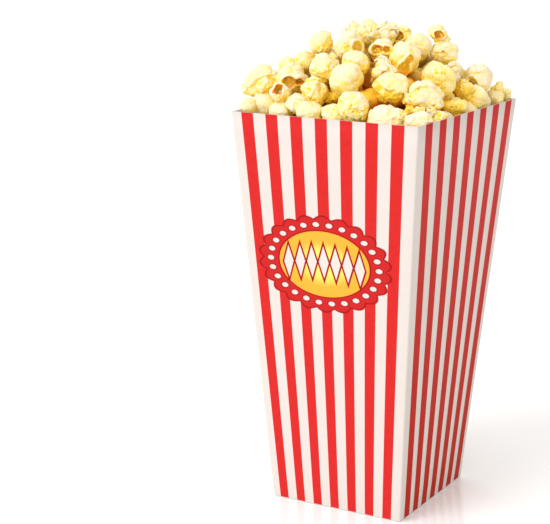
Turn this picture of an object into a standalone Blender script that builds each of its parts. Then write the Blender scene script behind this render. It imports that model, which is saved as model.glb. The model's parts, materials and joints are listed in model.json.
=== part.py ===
"""A tapered square paperboard carton, heaped above its rim with popcorn.

Metres, +Z up. The origin is on the ground, under the middle of the rim. The carton's
front panel faces -Y. Its panels lean out from the base to the rim, and the carton stands
a little racked and off centre, as a hand-folded one does.
"""

import math

import bmesh
import bpy
import numpy as np
from mathutils import Vector

# Carton
HEIGHT = 0.200
TOP_SIDE = 0.102
BASE_SIDE = 0.073
BOARD = 0.0005  # thickness of the paperboard
FOLD_RADIUS = 0.0010  # outside radius of the upright folds and of those round the base
PANEL_CUTS = 9  # lines each way across a panel, which let it twist smoothly
TOP_RACK = math.radians(1.6)  # how far the rim's corners are from square
BASE_RACK = math.radians(-1.8)
BASE_OFFSET = Vector((-0.0032, -0.0017))  # middle of the base from the middle of the rim

# Heap
GAP = 0.0004  # clearance between the popcorn and the board
MOUND_RISE = 0.032  # how far the mound's middle stands above its edge
MOUND_EDGE = 0.008  # height of the mound's edge above the rim
MOUND_SQUARENESS = 3.0  # 2 would be round in plan, and more is squarer
MOUND_FALL = 1.8  # how late the mound falls away towards its edge
DOME_REACH = 0.88  # share of a kernel's radius where its dome ends and its skirt starts
GRID_CELLS = 52  # cells along each side of the heap's surface

# Popped kernels
KERNEL_RADII = (0.0064, 0.0086)  # smallest and largest of those laid by rule
KERNEL_SPACING = 0.0138
KERNEL_LAYERS = 2
LAYER_DEPTH = 0.0120
ROOM_KEPT = 0.8  # how near a kernel laid by rule may start to one below, as a share of radii
KERNEL_SQUASH = 0.93  # how near two kernels may settle, as a share of their radii
SETTLING_ROUNDS = 80
SEED = 7

# The kernels that give the heap its outline, in millimetres: east, north, height of the
# middle above the rim, and radius.
OUTLINE_KERNELS = (
    # crown
    (-5, 2, 35, 8.2),
    (-7, -14, 30, 7.3),
    (-22, -16, 31, 6.1),
    (7, -5, 28, 5.6),
    (18, -5, 24, 8.0),
    (16, 13, 28, 6.9),
    (23, 21, 34, 4.7),
    (26, 21, 25, 5.7),
    # slope
    (-1, -17, 23, 6.5),
    (-11, -31, 21, 6.7),
    (2, -33, 16, 8.3),
    (21, -24, 12, 8.3),
    (34, 0, 15, 8.7),
    (36, -20, 8, 8.8),
    (-37, -21, 19, 6.2),
    (-28, -32, 15, 6.8),
    (-43, -37, 14, 8.3),
    (40, 32, 12, 7.2),
    # along the walls
    (-28, -43, 1, 5.8),
    (-12, -43, 2, 6.7),
    (11, -42, 5, 8.0),
    (29, -41, 2, 8.8),
    (43, -39, 0, 6.9),
    (41, 6, 1, 6.1),
    (42, 24, 3, 6.7),
)


def level_point(east, north, side, rack, middle):
    """The point of a level section of the carton at east and north, each from -1 to 1."""
    half = side / 2
    return middle + Vector((east + north * math.sin(rack), north * math.cos(rack))) * half


def wall_point(east, north, height, inset):
    """The same on the carton's section at a height, drawn in from its outside by inset.

    Above the rim, the section stays the rim's.
    """
    share = min(height / HEIGHT, 1.0)
    base = level_point(east, north, BASE_SIDE - 2 * inset, BASE_RACK, BASE_OFFSET)
    rim = level_point(east, north, TOP_SIDE - 2 * inset, TOP_RACK, Vector((0, 0)))
    plan = base.lerp(rim, share)
    return Vector((plan.x, plan.y, height))


def mound_height(plan):
    """Height of the smooth mound that the kernels are heaped to, over points in plan."""
    across = np.abs(plan) / (TOP_SIDE / 2)
    reach = (across**MOUND_SQUARENESS).sum(axis=-1) ** (1 / MOUND_SQUARENESS)
    return HEIGHT + MOUND_EDGE + MOUND_RISE * (1 - np.minimum(reach, 1.0) ** MOUND_FALL)


def scattered_kernels(rng):
    """Kernels in staggered rows just under the mound's surface, layer below layer."""
    reach = TOP_SIDE / 2 - BOARD - KERNEL_RADII[0]
    row_spacing = KERNEL_SPACING * math.sin(math.pi / 3)
    places = []
    for layer in range(KERNEL_LAYERS):
        for row, north in enumerate(np.arange(-reach, reach, row_spacing)):
            start = -reach + KERNEL_SPACING / 2 * ((row + layer) % 2)
            places += [(east, north, layer) for east in np.arange(start, reach, KERNEL_SPACING)]
    plan, layers = np.split(np.array(places), [2], axis=1)
    plan += rng.uniform(-0.2, 0.2, plan.shape) * KERNEL_SPACING
    radii = rng.uniform(*KERNEL_RADII, len(plan))
    heights = mound_height(plan) - radii - layers[:, 0] * LAYER_DEPTH
    return np.column_stack([plan, heights, radii])


def settled(fixed, loose):
    """The loose kernels, after the fixed ones, the walls and each other push them apart."""
    loose = loose.copy()
    own = len(fixed) + np.arange(len(loose))
    for _ in range(SETTLING_ROUNDS):
        every = np.vstack([fixed, loose])
        apart = loose[:, None, :3] - every[None, :, :3]
        distance = np.linalg.norm(apart, axis=2) + 1e-9
        overlap = KERNEL_SQUASH * (loose[:, None, 3] + every[None, :, 3]) - distance
        overlap[np.arange(len(loose)), own] = 0
        push = apart / distance[:, :, None] * np.clip(overlap, 0, None)[:, :, None]
        loose[:, :3] += 0.35 * push.sum(axis=1)
        reach = (TOP_SIDE / 2 - BOARD - GAP - loose[:, 3])[:, None]
        loose[:, :2] = np.clip(loose[:, :2], -reach, reach)
        loose[:, 2] = np.minimum(loose[:, 2], mound_height(loose[:, :2]) - loose[:, 3])
    return loose


def heap_kernels():
    """Middle and radius of every kernel of the heap's upper layers."""
    fixed = np.array(OUTLINE_KERNELS) / 1000 + (0, 0, HEIGHT, 0)
    loose = scattered_kernels(np.random.default_rng(SEED))
    distance = np.linalg.norm(loose[:, None, :3] - fixed[None, :, :3], axis=2)
    taken = distance < ROOM_KEPT * (loose[:, None, 3] + fixed[None, :, 3])
    return np.vstack([fixed, settled(fixed, loose[~taken.any(axis=1)])])


def heap_height(plan, kernels):
    """Height of the heap's surface over one point in plan.

    Each kernel stands out as a dome, and a straight skirt goes on down from the dome's rim
    to the kernels beside it.
    """
    radii = kernels[:, 3]
    away = np.linalg.norm(kernels[:, :2] - plan, axis=1) / radii
    dome = np.sqrt(1 - np.minimum(away, DOME_REACH) ** 2)
    slope = DOME_REACH / math.sqrt(1 - DOME_REACH**2)
    skirt = slope * np.maximum(away - DOME_REACH, 0)
    return (kernels[:, 2] + radii * (dome - skirt)).max()


def finish(name, bm, collection, colour, roughness):
    """Turns the mesh into a named object with its own material."""
    bmesh.ops.recalc_face_normals(bm, faces=bm.faces)
    mesh = bpy.data.meshes.new(name)
    bm.to_mesh(mesh)
    bm.free()
    material = bpy.data.materials.new(name)
    material.use_nodes = True
    shader = material.node_tree.nodes["Principled BSDF"]
    shader.inputs["Base Color"].default_value = (*colour, 1.0)
    shader.inputs["Roughness"].default_value = roughness
    shader.inputs["Metallic"].default_value = 0.0
    mesh.materials.append(material)
    obj = bpy.data.objects.new(name, mesh)
    collection.objects.link(obj)
    return obj


def on_fold(edge):
    """Whether an edge of the unshaped box, 2 each way, lies where two of its sides meet."""
    sides = [(abs(vert.co.x) == 1, abs(vert.co.y) == 1, vert.co.z == -1) for vert in edge.verts]
    return sum(first and second for first, second in zip(*sides)) == 2


def make_carton(collection):
    """The carton, folded from one sheet: four leaning panels and a flat base."""
    bm = bmesh.new()
    bmesh.ops.create_cube(bm, size=2.0)
    lid = [face for face in bm.faces if face.normal.z > 0.5]
    bmesh.ops.delete(bm, geom=lid, context="FACES_ONLY")
    bmesh.ops.subdivide_edges(bm, edges=bm.edges[:], cuts=PANEL_CUTS, use_grid_fill=True)
    folds = [edge for edge in bm.edges if on_fold(edge)]
    for vert in bm.verts:
        vert.co = wall_point(vert.co.x, vert.co.y, HEIGHT * (vert.co.z + 1) / 2, 0.0)
    bmesh.ops.bevel(
        bm, geom=folds, offset=FOLD_RADIUS, offset_type="OFFSET", segments=3,
        profile=0.5, affect="EDGES", material=-1,
    )
    obj = finish("carton", bm, collection, (0.86, 0.08, 0.06), 0.35)
    board = obj.modifiers.new("board", "SOLIDIFY")
    board.thickness = BOARD
    board.offset = -1.0
    board.use_even_offset = True
    obj.data.shade_smooth()
    obj.data.set_sharp_from_angle(angle=math.radians(40))
    return obj


def make_popcorn(collection):
    """The popcorn as one solid: it fills the carton, and its top is the heap's surface."""
    kernels = heap_kernels()
    inset = BOARD + GAP
    bm = bmesh.new()
    bmesh.ops.create_grid(bm, x_segments=GRID_CELLS, y_segments=GRID_CELLS, size=1.0)
    skirt = bmesh.ops.extrude_edge_only(bm, edges=[edge for edge in bm.edges if edge.is_boundary])
    foot = {item for item in skirt["geom"] if isinstance(item, bmesh.types.BMVert)}
    surface = [vert for vert in bm.verts if vert not in foot]
    for vert in surface:
        plan = wall_point(vert.co.x, vert.co.y, HEIGHT, inset).xy
        vert.co = wall_point(vert.co.x, vert.co.y, heap_height(plan, kernels), inset)
    for vert in foot:
        vert.co = wall_point(vert.co.x, vert.co.y, inset, inset)
    bmesh.ops.contextual_create(bm, geom=[edge for edge in bm.edges if edge.is_boundary])
    obj = finish("popcorn", bm, collection, (0.93, 0.83, 0.50), 0.70)
    obj.data.shade_smooth()
    obj.data.set_sharp_from_angle(angle=math.radians(60))
    return obj


def main():
    """Empties the scene and builds the carton and its popcorn."""
    for obj in list(bpy.data.objects):
        bpy.data.objects.remove(obj)
    collection = bpy.data.collections.new("bucket_of_popcorn")
    bpy.context.scene.collection.children.link(collection)
    make_carton(collection)
    make_popcorn(collection)


main()
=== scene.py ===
"""A striped paper carton heaped with popcorn: its finishes and fine shapes, and a studio.

Metres, +Z up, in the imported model's frame: the origin is on the ground under the middle
of the carton's rim, and the carton's front panel faces -Y.
"""

import itertools
import json
import math
from typing import NamedTuple

import bmesh
import bpy
import numpy as np
import openvdb
from bpy.props import FloatProperty, FloatVectorProperty, IntProperty, PointerProperty
from mathutils import Matrix, Vector


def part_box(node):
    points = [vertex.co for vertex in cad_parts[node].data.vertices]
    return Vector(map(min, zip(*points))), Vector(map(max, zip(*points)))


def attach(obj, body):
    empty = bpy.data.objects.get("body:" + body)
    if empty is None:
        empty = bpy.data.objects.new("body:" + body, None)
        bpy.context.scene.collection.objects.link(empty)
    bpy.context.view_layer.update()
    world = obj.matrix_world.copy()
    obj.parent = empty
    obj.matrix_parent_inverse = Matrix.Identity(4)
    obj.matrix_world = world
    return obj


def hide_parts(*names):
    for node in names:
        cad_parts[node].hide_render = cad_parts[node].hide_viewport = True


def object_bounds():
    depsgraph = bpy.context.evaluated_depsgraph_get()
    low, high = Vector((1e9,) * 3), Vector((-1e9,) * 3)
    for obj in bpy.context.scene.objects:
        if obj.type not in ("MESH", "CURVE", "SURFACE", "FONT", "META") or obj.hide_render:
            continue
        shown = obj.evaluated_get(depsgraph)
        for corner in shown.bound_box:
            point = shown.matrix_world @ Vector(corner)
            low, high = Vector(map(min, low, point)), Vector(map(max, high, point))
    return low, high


bl_info = {
    "name": "Bucket of Popcorn",
    "version": (1, 0, 0),
    "blender": (4, 5, 0),
    "location": "View3D > Sidebar > Popcorn",
    "description": "Makes a striped carton heaped with popcorn, and a studio round it",
    "category": "Object",
}

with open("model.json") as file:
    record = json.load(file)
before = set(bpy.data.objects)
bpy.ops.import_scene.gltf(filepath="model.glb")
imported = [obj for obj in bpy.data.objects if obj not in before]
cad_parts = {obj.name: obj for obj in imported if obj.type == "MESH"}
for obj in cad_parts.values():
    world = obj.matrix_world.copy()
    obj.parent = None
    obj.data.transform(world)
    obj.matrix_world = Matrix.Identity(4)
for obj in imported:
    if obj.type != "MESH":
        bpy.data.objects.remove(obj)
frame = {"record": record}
cad_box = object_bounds()

# Carton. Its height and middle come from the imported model.
CARTON_LOW, CARTON_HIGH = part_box("carton")
HEIGHT = CARTON_HIGH.z
TOP_SIDE = CARTON_HIGH.y - CARTON_LOW.y
BASE_SIDE = 0.073
BASE_MIDDLE = Vector(frame["record"]["mounts"][0]["pos_m"])
TOP_RACK = math.radians(1.6)  # how far the rim's corners are from square
BASE_RACK = math.radians(-1.8)
BOARD = 0.0005
FOLD_RADIUS = 0.0008
FOLD_SEGMENTS = 4
PANEL_CUTS = 19
PANEL_BULGE = 0.0006  # how far a panel's middle bows out
SHARP_ANGLE = math.radians(40)  # edges that turn more than this stay sharp
INSIDE_SLOT = 3  # place of the inside's finish in the carton's list

# Print
STRIPES = 7
STRIPE_PITCH = 0.1347  # of a panel's width
STRIPE_SHARE = 0.49  # of the pitch
STRIPE_BLUR = 0.012
INK_MOTTLE = 0.07  # how much darker the ink is in places
BLACK = (0.0, 0.0, 0.0)
SIDE_BROADER = 0.10  # how much more of the pitch a side's stripes fill at the base
FRONT_FIRST_STRIPE = 0.0905  # middle of the first stripe, from the panel's left edge
SIDE_FIRST_STRIPE = 0.1060
PRINT_START = (0.0014, 0.0036)  # heights, of the panel's, between which the ink begins

# Badge. Apart from its place and size, measures are shares of its half width and height.
BADGE_MIDDLE = (-0.0030, 0.1285)  # X and Z on the front panel
BADGE_HALF = (0.0375, 0.0245)
SCALLOPS = 22
SCALLOP_REACH = (0.075, 0.90)  # how far a scallop stands out, and where it starts
DOTS = 26
DOT_RING = 0.805
LOZENGES = 7
LOZENGE_PITCH = 0.176
LOZENGE_HEIGHT = 0.40
LOZENGE_ARCH = (-0.22, 0.04)  # how much the row bends, and how far up its middle is

# Heap
GAP = 0.0003  # between the popcorn and the board
MOUND_RISE = 0.032  # how far the mound's middle stands above its edge
MOUND_EDGE = 0.008  # height of the mound's edge above the rim
MOUND_SQUARENESS = 3.0  # 2 would be round in plan, and more is squarer
MOUND_FALL = 1.8  # how late the mound falls away towards its edge
CORE_DEPTH = 0.0300  # of the core's top under the mound's
CORE_CUTS = 39
LUMP_SIZE = 1 / 120  # length that the waves of the core's top are reckoned in
KERNEL_RADII = (0.0062, 0.0084)
KERNEL_SPACING = 0.0134
KERNEL_JITTER = 0.2  # of the spacing
KERNEL_LAYERS = 4
LAYER_DEPTH = 0.0080
ROOM_KEPT = 0.74  # how near a laid kernel may start to a placed one, as a share of radii
KERNEL_SQUASH = 0.93  # how near two kernels may settle, as a share of their radii
SETTLING_ROUNDS = 80
SETTLING_STEP = 0.35  # share of an overlap that one round takes away
LAID_TONES = (-0.20, 0.15)
FIRST_LAID_LOOK = 1000
SEED = 7
BOX_CLEARANCE = 0.0002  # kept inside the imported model's box
RIM_CLEARANCE = 0.0006  # how far above the rim the walls still hold a kernel in
NEIGHBOUR_SHADE_REACH = 0.03  # how near another kernel has to be to paint shade on one
GOLDEN_SHADE_DEPTHS = (0.008, 0.018)  # under the mound's surface, where kernels are painted golden as shade deep in the heap
# under the mound's surface, where kernels are painted brown as deeper shade
BROWN_SHADE_DEPTHS = (0.012, 0.024)

# Studio
CAMERA_TARGET = Vector((-0.0590, -0.0017, 0.1135))
CAMERA_DISTANCE = 0.9181
CAMERA_TURNS = (31.976, 13.625, -0.684)  # azimuth, elevation and roll, in degrees
SENSOR_WIDTH = 36.0
SUN_WAY = (-0.25, -0.66, 0.70)  # from the carton to the sun
SUN_ANGLE = math.radians(32)
SUN_COLOUR = (1.0, 0.99, 0.97)
SKY_COLOURS = ((1.0, 0.985, 0.955), (1.0, 0.965, 0.885))  # from the left and from the right
FLOOR_WHITE = (0.955, 0.97, 0.985)

# Kernels listed one by one, in millimetres: east, north, height of the middle above the rim
# and radius. Then the form, which way its face looks, its spin about that in degrees, how
# much more golden than usual it is, which is partly its own tone and partly painted shade
# for kernels that sit deep in gaps, and the number of its look, which any other would change.
PLACED_KERNELS = (
    # crown
    (-22, -16, 31, 6.2, "round", (8, -2, -3), 0, 0.00, 63),
    (-7, -14, 30, 7.8, "curled", (10, -4, -3), 90, -0.10, 72),
    (-13, 0, 33, 7.2, "flaky", (2, -8, 5), 90, -0.10, 85),
    (-4, 0, 35, 6.6, "flaky", (2, -8, 5), 90, -0.05, 88),
    (3, 4, 34, 6.4, "torn", (2, -8, 1), 80, 0.00, 92),
    (7, 12, 33, 5.4, "capped", (2, -8, 1), 0, 0.35, 201),
    (7, -7, 28, 6.3, "open", (5, -8, 2), 0, -0.10, 6),
    (18, -5, 24, 8.4, "curled", (5, -7, -3), 60, -0.05, 103),
    (16, 13, 28, 7.2, "smooth", (0, 0, 1), 0, -0.20, 8),
    (23, 21, 34, 4.9, "capped", (5, -8, 0), 0, 0.05, 191),
    (25, 22, 29, 4.5, "knobbly", (3, -8, 1), 0, 0.00, 43),
    (27, 20, 25, 6.6, "folded", (3, -8, 1), 0, -0.12, 10),
    # slope facing the viewer
    (-30, -19, 22, 6.0, "smooth", (0, 0, 1), 0, 0.00, 11),
    (-37, -21, 19, 6.4, "smooth", (0, 0, 1), 0, 0.00, 12),
    (-11, -31, 21, 7.4, "pitted", (7, -8, -8), 0, 0.00, 156),
    (0, -20, 22, 7.0, "smooth", (0, -8, -2), 0, 0.00, 14),
    (10, -27, 6, 6.6, "smooth", (5, -8, 1), 0, 0.35, 15),
    (13, -16, 20, 6.6, "torn", (3, -8, 3), 0, -0.25, 188),
    (2, -33, 16, 8.5, "round", (4, -8, -2), 0, -0.08, 17),
    (21, -24, 12, 8.6, "pitted", (4, -7, -9), 0, 0.05, 113),
    (34, 0, 15, 9.0, "pitted", (4, -8, 1), 0, 0.05, 132),
    (36, -20, 8, 9.2, "flaky", (4, -8, -3), 0, 0.00, 122),
    (38, 19, 7, 5.6, "scaly", (5, -8, 1), 0, 0.30, 21),
    (33, 17, 18, 4.2, "knobbly", (2, -8, 2), 0, -0.20, 22),
    (34, 15, 14, 3.6, "clumped", (2, -8, 2), 0, -0.20, 44),
    (40, 32, 12, 7.6, "curled", (-3, -8, -4), 0, -0.30, 170),
    # left end
    (-43, -37, 14, 8.8, "folded", (4, -6, -6), 0, 0.00, 181),
    (-29, -32, 15, 7.4, "open", (7, -7, -2), 0, -0.10, 148),
    (-30, -42, 9, 5.8, "capped", (1, -8, 5), 0, -0.10, 196),
    (-12, -39, 10, 7.4, "scaly", (5, -8, -2), 0, 0.20, 154),
    (-6, -32, 8, 4.6, "clumped", (5, -8, 1), 0, 0.45, 28),
    # along the walls
    (-46, -45, 2, 4.3, "smooth", (0, 0, 1), 0, 0.00, 29),
    (-39, -40, 3, 6.3, "smooth", (0, 0, 1), 0, -0.20, 30),
    (-28, -44, 0, 6.0, "smooth", (0, 0, 1), 0, -0.20, 31),
    (-19, -44, 5, 5.5, "flaky", (0, -8, -2), 0, -0.10, 32),
    (-12, -44, 1, 6.9, "round", (0, 0, 1), 0, -0.15, 33),
    (1, -44, 0, 7.0, "round", (0, -2, 8), 0, 0.00, 51),
    (11, -43, 5, 8.2, "pitted", (4, -8, -1), 0, 0.05, 145),
    (28, -40, -2, 9.6, "round", (0, -4, 5), 0, -0.20, 36),
    (44, -39, -1, 6.9, "smooth", (0, 0, 1), 0, -0.22, 37),
    (41, 2, 1, 6.4, "folded", (4, -8, 1), 0, 0.00, 38),
    (43, 24, 3, 6.9, "smooth", (0, 0, 1), 0, -0.10, 39),
    (46, 39, 1, 4.7, "smooth", (0, 0, 1), 0, 0.00, 40),
    (46, 42, 6, 3.6, "folded", (3, -8, 3), 60, 0.30, 49),
    (47, 50, 2, 3.5, "capped", (-3, -8, 1), 0, 0.00, 41),
    (45, -22, -1, 4.8, "pitted", (5, -8, 3), 0, 0.00, 42),
    # bits broken off
    (38, -28, 3, 3.0, "knobbly", (2, -8, 2), 0, -0.10, 45),
    (43, -25, 3, 2.6, "clumped", (2, -8, 2), 90, 0.00, 46),
    (33, -28, 3, 2.8, "folded", (2, -8, 2), 45, 0.10, 47),
    (-13, -20, 25, 2.4, "clumped", (2, -8, 2), 0, 0.10, 48),
)


class Form(NamedTuple):
    """What a kind of popped kernel looks like, at a radius of 1."""

    lobes: int  # balls that it has puffed out into
    spread: float  # how far their middles stand out
    lobe_sizes: tuple  # smallest and largest radius of a ball
    core: float  # radius of the ball in the middle
    softness: float  # how softly the balls run into each other
    flaps: int  # torn sheets of skin that stand off it
    flap_lift: float
    rings: int  # oval creases in its skin
    holes: int  # hollows in its face
    hole_size: float
    lip: float  # thickness of the rolled edge round a hollow
    pitted: float  # how much of its face is pitted like a honeycomb
    bubbles: float  # how blistered its skin is
    stretch: float  # length beside width


FORMS = {
    "smooth": Form(8, 0.42, (0.42, 0.60), 0.82, 0.09, 1, 0.02, 6, 0, 0.00, 0.00, 0.32, 0.9, 1.08),
    "round": Form(9, 0.42, (0.42, 0.58), 0.83, 0.09, 2, 0.02, 7, 0, 0.00, 0.00, 0.42, 0.9, 1.06),
    "pitted": Form(9, 0.43, (0.42, 0.58), 0.82, 0.08, 2, 0.03, 5, 0, 0.00, 0.00, 0.68, 0.9, 1.06),
    "scaly": Form(11, 0.48, (0.38, 0.54), 0.78, 0.07, 2, 0.04, 4, 0, 0.00, 0.00, 0.90, 1.0, 1.08),
    "flaky": Form(10, 0.46, (0.40, 0.56), 0.80, 0.07, 6, 0.06, 5, 0, 0.00, 0.00, 0.45, 1.0, 1.08),
    "knobbly": Form(12, 0.58, (0.30, 0.48), 0.68, 0.06, 3, 0.06, 5, 0, 0.00, 0.00, 0.30, 0.6, 1.25),
    "clumped": Form(9, 0.62, (0.28, 0.48), 0.60, 0.05, 6, 0.14, 2, 2, 0.20, 0.05, 0.20, 0.5, 1.10),
    "folded": Form(6, 0.44, (0.45, 0.62), 0.72, 0.09, 2, 0.06, 5, 1, 0.18, 0.05, 0.25, 0.9, 1.28),
    "curled": Form(9, 0.43, (0.42, 0.58), 0.82, 0.08, 2, 0.03, 5, 2, 0.40, 0.08, 0.28, 0.9, 1.08),
    "open": Form(8, 0.48, (0.40, 0.54), 0.76, 0.08, 1, 0.06, 2, 2, 0.46, 0.13, 0.10, 0.6, 1.20),
    "capped": Form(9, 0.52, (0.36, 0.52), 0.72, 0.07, 2, 0.08, 3, 1, 0.52, 0.11, 0.10, 0.8, 1.05),
    "torn": Form(7, 0.52, (0.34, 0.50), 0.64, 0.06, 5, 0.12, 2, 3, 0.20, 0.07, 0.15, 0.8, 1.10),
}
FORM_SHARES = {
    "smooth": 0.16, "round": 0.14, "pitted": 0.14, "scaly": 0.10, "flaky": 0.10, "knobbly": 0.10,
    "clumped": 0.06, "folded": 0.06, "curled": 0.06, "open": 0.03, "capped": 0.03, "torn": 0.02,
}


class Detail(NamedTuple):
    """How finely a kernel is made."""

    cell: float  # of the grid that it is shaped on, at a radius of 1
    kept: float  # share of its triangles that are kept


PLACED_DETAIL = Detail(0.0400, 0.40)
FILLER_DETAIL = Detail(0.0600, 0.50)
BURIED_DETAIL = Detail(0.1300, 0.40)
KERNEL_REACH = 1.6  # half the side of that grid
SKIN_BAND = 0.34  # how far from the lobes' surface flaps and hollows reach
FIELD_LIMIT = 0.3  # largest value that the grid holds
ENCLOSING = (0.11, 0.26)  # widths over which a point's surroundings are averaged
FAR_OFF = 9.0  # a distance that nothing on the grid reaches
SHEET = 0.045  # half the thickness of a torn sheet
BLISTER_SIZES = (0.36, 0.19)  # large and fine
DENT_SIZE = 0.12
PIT_SIZES = (0.25, 0.36)
SPOT_TABLE = 16  # cells each way after which scattered spots repeat
UNDERSIDE_SHADE = 0.28  # painted shade: how much more golden a kernel's underside is
PAINTED_LIGHT_WAY = np.array((-0.35, -0.25, 0.90))  # the way the painted light comes from: faces turned this way are painted palest and least golden
DARK_INSIDE = ("open", "capped")  # forms with brown hulls in their hollows


# --- Settings ---


def colour_property(name, description, default):
    """A colour that the user can change."""
    return FloatVectorProperty(
        name=name, description=description, default=default, subtype="COLOR", min=0.0, max=1.0,
    )


class CartonSettings(bpy.types.PropertyGroup):
    """Colours of the printed board."""

    red: colour_property("Red", "Ink of the front's stripes", (0.615, 0.0240, 0.0230))
    # The sides' and back's stripes are the front's ink in two painted copies, which it runs between
    # up the panel. At the rim it is a little darker and pinker, as painted shade with a painted
    # sheen. At the base it is darker and browner, as painted shade.
    rim_red_with_painted_sheen: colour_property(
        "Red at the rim", "The other stripes' ink at the rim", (0.565, 0.0380, 0.0360),
    )
    base_red_with_painted_shade: colour_property(
        "Red at the base", "The other stripes' ink at the base", (0.445, 0.0170, 0.0040),
    )
    white: colour_property("White", "Bare coated board", (0.680, 0.620, 0.590))
    dark_red: colour_property("Outline", "Outlines of the badge", (0.34, 0.008, 0.012))
    gold: colour_property("Gold", "Glow inside the badge", (0.93, 0.40, 0.045))
    yellow: colour_property("Yellow", "Middle of the glow", (0.94, 0.72, 0.14))


class PopcornSettings(bpy.types.PropertyGroup):
    """Colours and size of the popped kernels."""

    # The golden share picks among the first four and the brown share adds the last. Besides the
    # kernels' own colours, these shares hold painted light and shade: white also stands for painted
    # light on tops and ridges, butter and golden for painted shade in creases, underneath, between
    # kernels and deep in the heap, and the brown for painted shade in the deepest gaps.
    white: colour_property("White", "Thin edges of the skin", (0.86, 0.75, 0.605))
    cream: colour_property("Cream", "Puffed skin", (0.89, 0.75, 0.44))
    butter_and_shade: colour_property("Butter", "Creases", (0.97, 0.775, 0.24))
    golden: colour_property("Golden", "Toasted patches", (0.97, 0.65, 0.05))
    hull: colour_property("Hull", "Hulls inside the openings", (0.74, 0.235, 0.014))
    kernel_size: FloatProperty(
        name="Kernel size", description="Size of each kernel beside its usual size",
        default=1.0, min=0.8, max=1.2, subtype="FACTOR",
    )


class StudioSettings(bpy.types.PropertyGroup):
    """Light and camera."""

    sun: FloatProperty(name="Sun", description="Strength of the main light", default=1.15, min=0.0)
    sky: FloatProperty(
        name="Sky", description="Strength of the light all round", default=1.28, min=0.0,
    )
    sky_fall: FloatVectorProperty(
        name="Sky fall", description="How much weaker it is to the right, behind and overhead",
        default=(0.20, 0.30, 0.30), min=0.0,
    )
    lens: FloatProperty(
        name="Lens", description="Focal length", default=115.07, min=10.0, unit="CAMERA",
    )
    floor_side: FloatProperty(
        name="Floor", description="Side of the floor", default=24.0, min=1.0, unit="LENGTH",
    )
    seed: IntProperty(name="Seed", description="Changes the kernels laid by rule", default=9, min=0)


# --- The carton's shape ---


def section(height, inset=0.0):
    """Middle, half width, skew and half depth of the carton's level section at a height.

    The height may be an array. Above the rim, the section stays the rim's.
    """
    share = np.minimum(height / HEIGHT, 1.0)
    base = (1 - share) * (BASE_SIDE / 2 - inset)
    rim = share * (TOP_SIDE / 2 / math.cos(TOP_RACK) - inset)
    skew = base * math.sin(BASE_RACK) + rim * math.sin(TOP_RACK)
    depth = base * math.cos(BASE_RACK) + rim * math.cos(TOP_RACK)
    return (1 - share) * BASE_MIDDLE.x, (1 - share) * BASE_MIDDLE.y, base + rim, skew, depth


def wall_plan(east, north, height, inset=0.0):
    """The point in plan that is this far east and north in the section, each from -1 to 1."""
    x, y, half, skew, depth = section(height, inset)
    return x + east * half + north * skew, y + north * depth


def in_section(x, y, height, inset=0.0):
    """The reverse: how far east and north a point in plan is, from -1 to 1 at the walls."""
    middle_x, middle_y, half, skew, depth = section(height, inset)
    north = (y - middle_y) / depth
    return (x - middle_x - north * skew) / half, north


def mound_height(plan):
    """Height of the smooth mound that the kernels are heaped to, over points in plan."""
    across = np.abs(plan) / (TOP_SIDE / 2)
    reach = (across**MOUND_SQUARENESS).sum(axis=-1) ** (1 / MOUND_SQUARENESS)
    return HEIGHT + MOUND_EDGE + MOUND_RISE * (1 - np.minimum(reach, 1.0) ** MOUND_FALL)


# --- Where the kernels lie ---


class Kernel(NamedTuple):
    """One popped kernel of the heap."""

    middle: tuple
    radius: float
    form: str
    facing: tuple
    spin: float
    tone: float
    look: int
    detail: Detail


def scattered_kernels(rng):
    """Middles and radii in staggered rows just under the mound's surface, layer below layer."""
    reach = TOP_SIDE / 2 - BOARD - KERNEL_RADII[0]
    row_spacing = KERNEL_SPACING * math.sin(math.pi / 3)
    places = []
    for layer in range(KERNEL_LAYERS):
        for row, north in enumerate(np.arange(-reach, reach, row_spacing)):
            start = -reach + KERNEL_SPACING / 2 * ((row + layer) % 2)
            places += [(east, north, layer) for east in np.arange(start, reach, KERNEL_SPACING)]
    plan, layers = np.split(np.array(places), [2], axis=1)
    plan += rng.uniform(-KERNEL_JITTER, KERNEL_JITTER, plan.shape) * KERNEL_SPACING
    radii = rng.uniform(*KERNEL_RADII, len(plan))
    heights = mound_height(plan) - radii - layers[:, 0] * LAYER_DEPTH
    return np.column_stack([plan, heights, radii]), layers[:, 0]


def settled(fixed, loose):
    """The loose kernels, after the fixed ones, the walls and each other push them apart."""
    loose = loose.copy()
    own = len(fixed) + np.arange(len(loose))
    for _ in range(SETTLING_ROUNDS):
        every = np.vstack([fixed, loose])
        apart = loose[:, None, :3] - every[None, :, :3]
        distance = np.linalg.norm(apart, axis=2) + 1e-9
        overlap = KERNEL_SQUASH * (loose[:, None, 3] + every[None, :, 3]) - distance
        overlap[np.arange(len(loose)), own] = 0
        push = apart / distance[:, :, None] * np.clip(overlap, 0, None)[:, :, None]
        loose[:, :3] += SETTLING_STEP * push.sum(axis=1)
        reach = (TOP_SIDE / 2 - BOARD - GAP - loose[:, 3])[:, None]
        loose[:, :2] = np.clip(loose[:, :2], -reach, reach)
        loose[:, 2] = np.minimum(loose[:, 2], mound_height(loose[:, :2]) - loose[:, 3])
    return loose


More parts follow.
